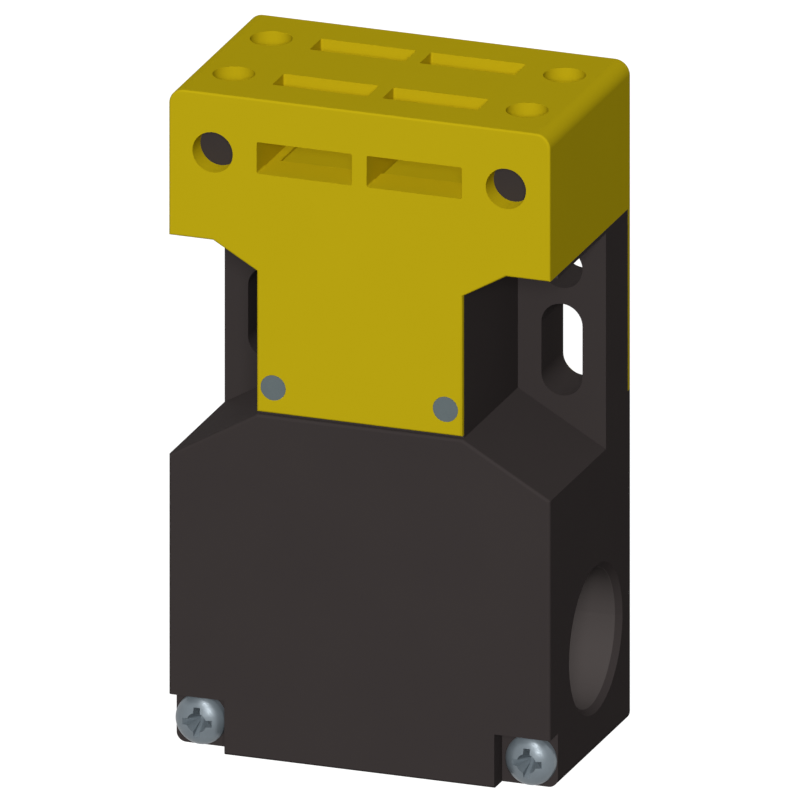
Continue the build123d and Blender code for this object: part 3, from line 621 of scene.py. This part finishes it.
def floor_material():
    """Matt studio paper. Seen straight or in a reflection it is white and keeps the soft shadow;
    it sends the object no more light than the air round it."""
    material, tree = new_material("Matt_studio_paper")
    place = add_node(tree, "ShaderNodeTexCoord").outputs["Object"]
    # Paper fibre, drawn coarser than it is so that it shows
    fibre = add_node(tree, "ShaderNodeTexNoise", {"Scale": per_metre(0.8)}, {"Vector": place})
    relief = add_node(tree, "ShaderNodeBump", {"Strength": 0.05, "Distance": 0.02 * MM},
                      {"Height": fibre.outputs["Fac"]})
    paper = add_node(tree, "ShaderNodeBsdfDiffuse", {"Color": PAPER_BOUNCE},
                     {"Normal": relief.outputs["Normal"]})
    shaded = add_node(tree, "ShaderNodeBsdfDiffuse", {"Color": PAPER_GREY},
                      {"Normal": relief.outputs["Normal"]})
    glow = add_node(tree, "ShaderNodeEmission", {"Color": WHITE, "Strength": PAPER_GLOW})
    both = add_node(tree, "ShaderNodeAddShader",
                    links={0: shaded.outputs[0], 1: glow.outputs[0]})
    mixed = add_node(tree, "ShaderNodeMixShader",
                     links={"Fac": seen_rays(tree), 1: paper.outputs[0], 2: both.outputs[0]})
    add_node(tree, "ShaderNodeOutputMaterial", links={"Surface": mixed.outputs[0]})
    return material


def studio_world(ambient):
    """Even soft light; white where the camera or a reflection sees it"""
    world = bpy.data.worlds.new("Soft_studio")
    world.use_nodes = True
    tree = world.node_tree
    tree.nodes.clear()
    soft = add_node(tree, "ShaderNodeBackground", {"Color": WHITE, "Strength": ambient})
    white = add_node(tree, "ShaderNodeBackground", {"Color": WHITE, "Strength": 1.0})
    mixed = add_node(tree, "ShaderNodeMixShader",
                     links={"Fac": seen_rays(tree), 1: soft.outputs[0], 2: white.outputs[0]})
    add_node(tree, "ShaderNodeOutputWorld", links={"Surface": mixed.outputs[0]})
    return world


def aim(thing, direction):
    """Turn a lamp or camera so that it looks along a direction"""
    thing.rotation_euler = Vector(direction).to_track_quat("-Z", "Y").to_euler()


def towards(turn, height):
    """Direction from the object, turned to the right of the front and raised above the horizon"""
    level = math.cos(height)
    return Vector((math.sin(turn) * level, -math.cos(turn) * level, math.sin(height)))


def add_lamp(name, strength, side, softness, shadow=True, mirrored=True):
    """Sun lamp that shines from one side; an unmirrored one doesn't show in reflections"""
    lamp = bpy.data.lights.new(name, "SUN")
    lamp.energy = strength
    lamp.angle = softness
    lamp.use_shadow = shadow
    holder = bpy.data.objects.new(name, lamp)
    holder.visible_glossy = mirrored
    bpy.context.scene.collection.objects.link(holder)
    aim(holder, -side)


class SWITCH_OT_studio(bpy.types.Operator):
    """Floor, soft light and camera"""
    bl_idname = "switch.studio"
    bl_label = "Build the studio"

    def execute(self, context):
        scene = context.scene
        studio = scene.studio_settings
        scene.view_settings.view_transform = "Standard"
        scene.world = studio_world(studio.ambient)

        sheet = bmesh.new()
        bmesh.ops.create_grid(sheet, x_segments=1, y_segments=1, size=PAPER_REACH)
        floor = new_piece("studio_floor", finished_mesh(sheet, "studio_floor"))
        floor.data.materials.append(floor_material())

        back = towards(studio.azimuth, studio.elevation)
        add_lamp("fill_lamp", studio.fill, back, studio.softness)
        key = towards(studio.key_turn, studio.key_height)
        add_lamp("key_lamp", studio.key, key, studio.softness, shadow=False)
        rear = towards(studio.rear_turn, 0.0)
        add_lamp("rear_lamp", studio.rear, rear, studio.softness, shadow=False, mirrored=False)

        lens = bpy.data.cameras.new("photo_view")
        lens.type = "ORTHO"
        lens.ortho_scale = studio.view_width
        lens.clip_end = VIEW_END
        camera = bpy.data.objects.new("photo_view", lens)
        scene.collection.objects.link(camera)
        camera.location = Vector(VIEW_CENTRE) + back * CAMERA_DISTANCE
        aim(camera, -back)
        scene.camera = camera
        return {"FINISHED"}


# Panel and registering

class SWITCH_PT_panel(bpy.types.Panel):
    """Lists the sizes, colours and steps that dress the switch"""
    bl_idname = "SWITCH_PT_panel"
    bl_label = "Interlock switch"
    bl_space_type = "VIEW_3D"
    bl_region_type = "UI"
    bl_category = "Interlock switch"

    def draw(self, context):
        layout = self.layout
        for place, group in GROUPS.items():
            for name in group.__annotations__:
                layout.prop(getattr(context.scene, place), name)
        for operator in OPERATORS:
            layout.operator(operator.bl_idname)


GROUPS = {
    "switch_colours": SwitchColours,
    "ledge_sizes": LedgeSizes,
    "plate_sizes": PlateSizes,
    "screw_sizes": ScrewSizes,
    "studio_settings": StudioSettings,
}
OPERATORS = (SWITCH_OT_dress_head, SWITCH_OT_dress_case, SWITCH_OT_dress_inside,
             SWITCH_OT_slim_ledge, SWITCH_OT_free_plate, SWITCH_OT_cover_screws, SWITCH_OT_studio)
CLASSES = (*GROUPS.values(), *OPERATORS, SWITCH_PT_panel)


def register():
    """Register the classes and hang the property groups on the scene"""
    for item in CLASSES:
        bpy.utils.register_class(item)
    for place, group in GROUPS.items():
        setattr(bpy.types.Scene, place, bpy.props.PointerProperty(type=group))


def unregister():
    """Undo what register did"""
    for place in GROUPS:
        delattr(bpy.types.Scene, place)
    for item in reversed(CLASSES):
        bpy.utils.unregister_class(item)


def main():
    """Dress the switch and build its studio"""
    register()
    bpy.ops.switch.dress_head()
    bpy.ops.switch.dress_case()
    bpy.ops.switch.dress_inside()
    bpy.ops.switch.slim_ledge()
    bpy.ops.switch.free_plate()
    bpy.ops.switch.cover_screws()
    bpy.ops.switch.studio()


if __name__ == "__main__":
    main()
